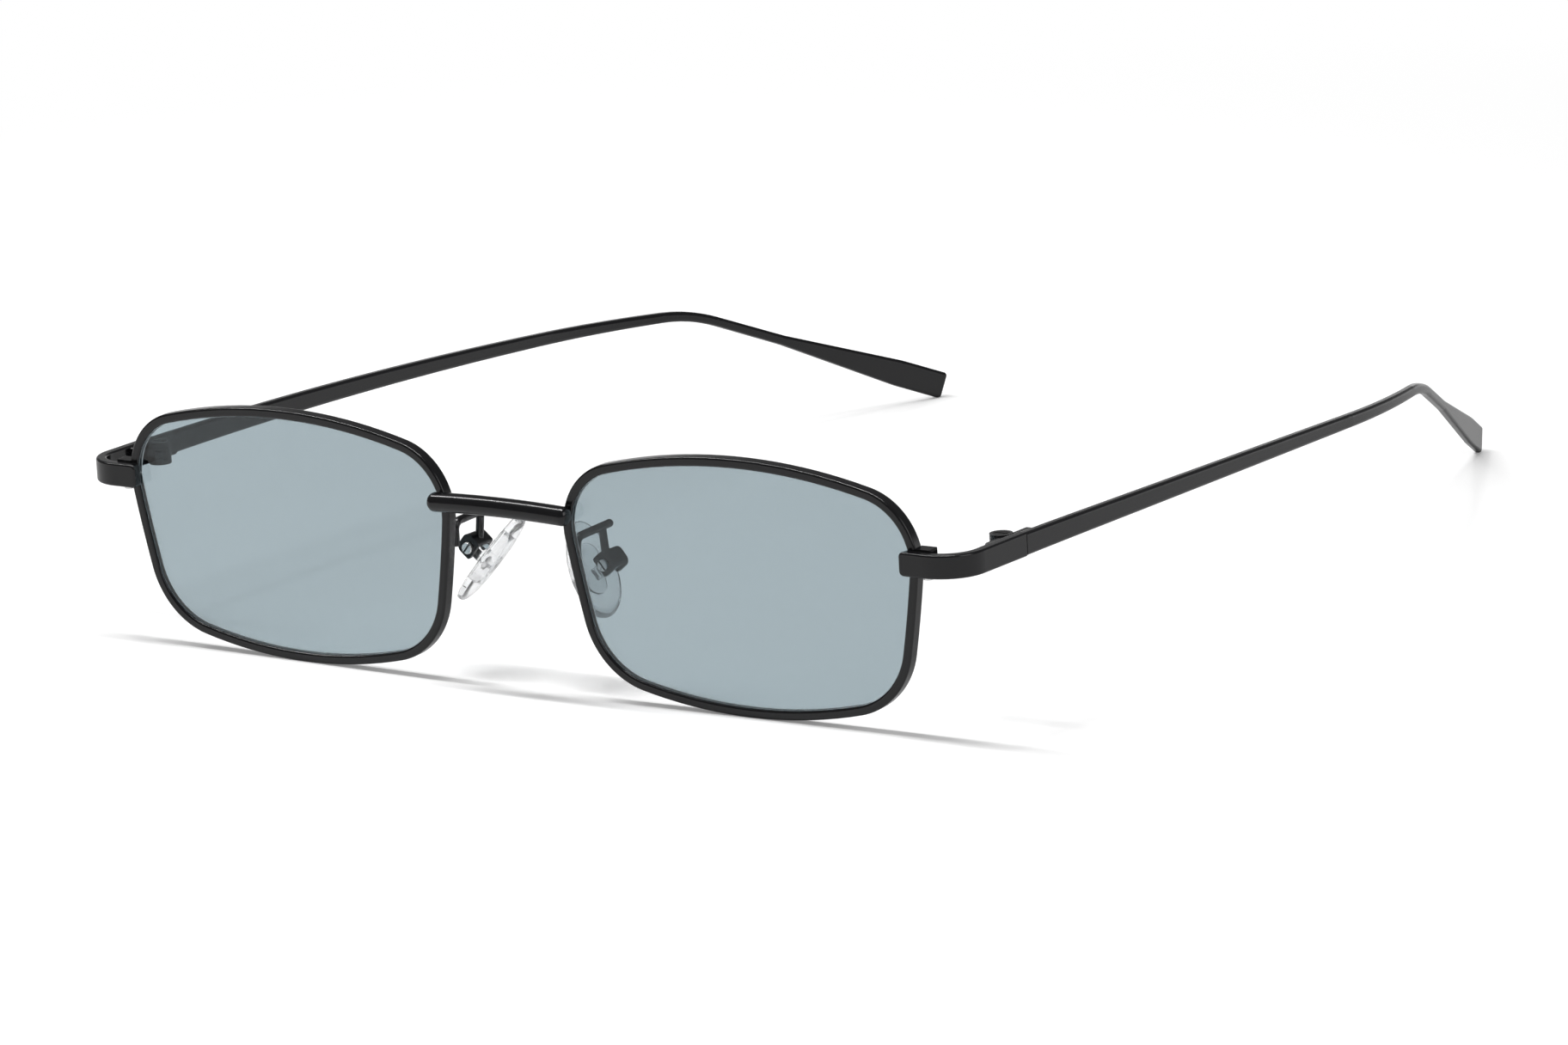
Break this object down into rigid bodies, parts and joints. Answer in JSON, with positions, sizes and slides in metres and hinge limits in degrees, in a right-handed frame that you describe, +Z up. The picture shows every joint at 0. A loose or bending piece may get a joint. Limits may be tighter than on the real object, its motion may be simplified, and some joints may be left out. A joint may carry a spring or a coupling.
{
  "type": "narrow rectangle sunglasses",
  "caption": "Narrow rectangular metal sunglasses with grey tinted lenses, a bar bridge, adjustable clear nose pads and slim folding temples.",
  "frame": {"origin": "on the table under the middle of the open pair", "axes": "+X to the wearer's left, +Y back along the temples, +Z up"},
  "size_m": [0.131, 0.156, 0.0318],
  "materials": {
    "frame_black": "satin black paint",
    "lens_tint": "polished grey tint",
    "pad_clear": "clear soft silicone",
    "pad_core_clear": "clear stiff plastic",
    "screw_steel": "bright",
    "hinge_screw_dark": "satin black paint"
  },
  "bodies": {
    "front": {"bridge": "frame_black", "rim_left": "frame_black", "rim_right": "frame_black", "lens_left": "lens_tint", "lens_right": "lens_tint", "end_piece_left": "frame_black", "end_piece_right": "frame_black", "rim_lock_upper_left": "frame_black", "rim_lock_upper_right": "frame_black", "rim_lock_lower_left": "frame_black", "rim_lock_lower_right": "frame_black", "rim_lock_screw_left": "screw_steel", "rim_lock_screw_right": "screw_steel", "front_hinge_left": "frame_black", "front_hinge_right": "frame_black", "hinge_screw_left": "hinge_screw_dark", "hinge_screw_right": "hinge_screw_dark", "pad_arm_left": "frame_black", "pad_arm_right": "frame_black", "pad_clip_left": "frame_black", "pad_clip_right": "frame_black", "pad_screw_left": "screw_steel", "pad_screw_right": "screw_steel"},
    "temple_arm_left": {"temple_left": "frame_black", "temple_hinge_left": "frame_black"},
    "temple_arm_right": {"temple_right": "frame_black", "temple_hinge_right": "frame_black"},
    "pad_left": {"nose_pad_left": "pad_clear", "pad_mount_left": "pad_core_clear"},
    "pad_right": {"nose_pad_right": "pad_clear", "pad_mount_right": "pad_core_clear"}
  },
  "joints": [
    {"name": "temple_fold_left", "type": "hinge", "parent": "front", "child": "temple_arm_left", "pos_m": [0.0627, -0.06251, 0.02137], "axis": [0, 0, 1], "range_deg": [0, 88]},
    {"name": "temple_fold_right", "type": "hinge", "parent": "front", "child": "temple_arm_right", "pos_m": [-0.0627, -0.06251, 0.02137], "axis": [0, 0, -1], "range_deg": [0, 83]},
    {"name": "pad_rock_left", "type": "hinge", "parent": "front", "child": "pad_left", "pos_m": [0.01031, -0.06821, 0.0156], "axis": [0, 1, 0], "range_deg": [-12, 12]},
    {"name": "pad_rock_right", "type": "hinge", "parent": "front", "child": "pad_right", "pos_m": [-0.01031, -0.06821, 0.0156], "axis": [0, -1, 0], "range_deg": [-12, 12]}
  ]
}
